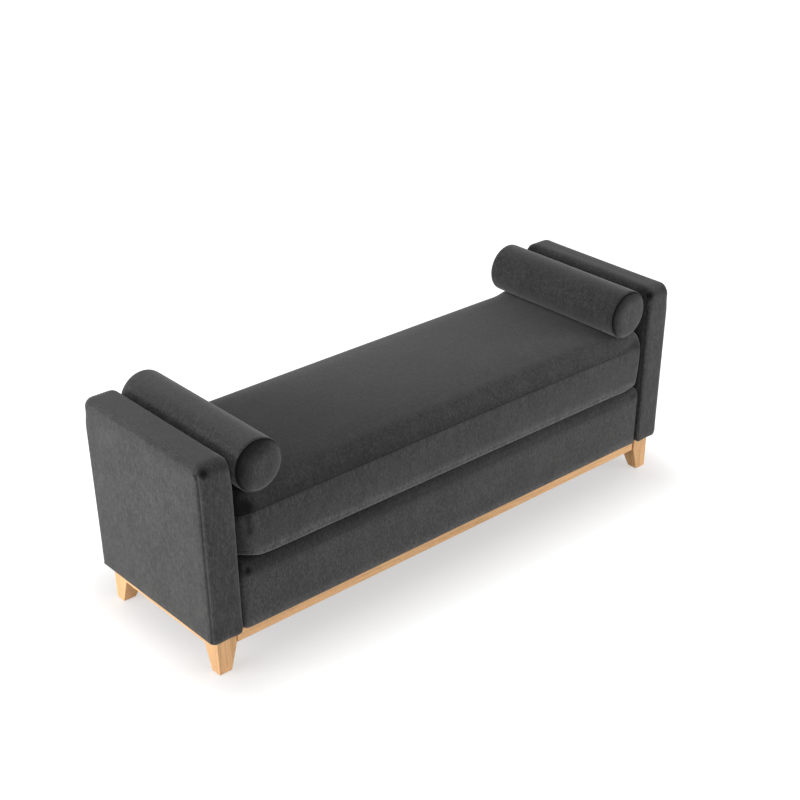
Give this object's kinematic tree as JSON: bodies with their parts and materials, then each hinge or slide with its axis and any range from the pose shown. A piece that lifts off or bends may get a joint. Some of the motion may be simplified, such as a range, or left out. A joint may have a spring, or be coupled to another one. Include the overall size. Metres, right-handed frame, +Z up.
{
  "type": "upholstered bench",
  "caption": "Long upholstered bench with square padded arms, a loose boxed seat cushion, round bolsters against the arms and a low wooden base on tapered legs.",
  "frame": {"origin": "on the floor under the middle of the bench", "axes": "+X along the bench to the right-hand arm, -Y to the front, +Z up"},
  "size_m": [1.72, 0.528, 0.6426],
  "materials": {
    "oak": "satin oiled oak, straight grain",
    "pine": "planed softwood, unfinished",
    "plywood": "thin birch plywood, unfinished",
    "beech": "fluted hardwood, unfinished",
    "steel": "zinc plated",
    "spring_steel": "bright drawn wire",
    "brass": "plain",
    "nylon": "moulded, matt",
    "foam": "open-cell cushion foam",
    "felt": "pressed fibre felt",
    "velvet": "charcoal velvet, low pile, soft mottling",
    "dust_cloth": "thin black non-woven cloth",
    "zip": "charcoal woven tape with a nylon chain"
  },
  "bodies": {
    "bench": {"leg_front_left": "oak", "leg_front_right": "oak", "leg_rear_left": "oak", "leg_rear_right": "oak", "rail_front": "oak", "rail_rear": "oak", "rail_left": "oak", "rail_right": "oak", "base_stretcher_left": "oak", "base_stretcher_right": "oak", "base_dowels": "beech", "foot_glides": "nylon", "base_screws": "steel", "seat_rail_front": "pine", "seat_rail_rear": "pine", "seat_rail_left": "pine", "seat_rail_right": "pine", "seat_spreader_left": "pine", "seat_spreader_right": "pine", "seat_frame_screws": "steel", "seat_springs": "spring_steel", "spring_clips": "steel", "spring_felt": "felt", "deck_foam": "foam", "seat_base_foam": "foam", "seat_base_cover": "velvet", "dust_cloth": "dust_cloth", "arm_left_front_post": "pine", "arm_left_rear_post": "pine", "arm_left_top_rail": "pine", "arm_left_bottom_rail": "pine", "arm_left_inner_board": "plywood", "arm_left_outer_board": "plywood", "arm_left_foam": "foam", "arm_left_cover": "velvet", "arm_right_front_post": "pine", "arm_right_rear_post": "pine", "arm_right_top_rail": "pine", "arm_right_bottom_rail": "pine", "arm_right_inner_board": "plywood", "arm_right_outer_board": "plywood", "arm_right_foam": "foam", "arm_right_cover": "velvet", "arm_frame_screws": "steel", "arm_bolts": "steel", "arm_bolt_washers": "steel", "arm_insert_nuts": "brass"},
    "seat_cushion": {"seat_cushion_foam": "foam", "seat_cushion_cover": "velvet", "cushion_zip": "zip"},
    "cushion_zip_slider": {"zip_slider": "steel"},
    "bolster_left": {"bolster_left_core": "foam", "bolster_left_cover": "velvet"},
    "bolster_right": {"bolster_right_core": "foam", "bolster_right_cover": "velvet"}
  },
  "joints": [
    {"name": "cushion_lift", "type": "slide", "parent": "bench", "child": "seat_cushion", "axis": [0, 0, 1], "range_m": [0, 0.34]},
    {"name": "zip_slide", "type": "slide", "parent": "seat_cushion", "child": "cushion_zip_slider", "axis": [-1, 0, 0], "range_m": [0, 1.016]},
    {"name": "bolster_left_lift", "type": "slide", "parent": "seat_cushion", "child": "bolster_left", "axis": [0, 0, 1], "range_m": [0, 0.15]},
    {"name": "bolster_right_lift", "type": "slide", "parent": "seat_cushion", "child": "bolster_right", "axis": [0, 0, 1], "range_m": [0, 0.15]}
  ]
}
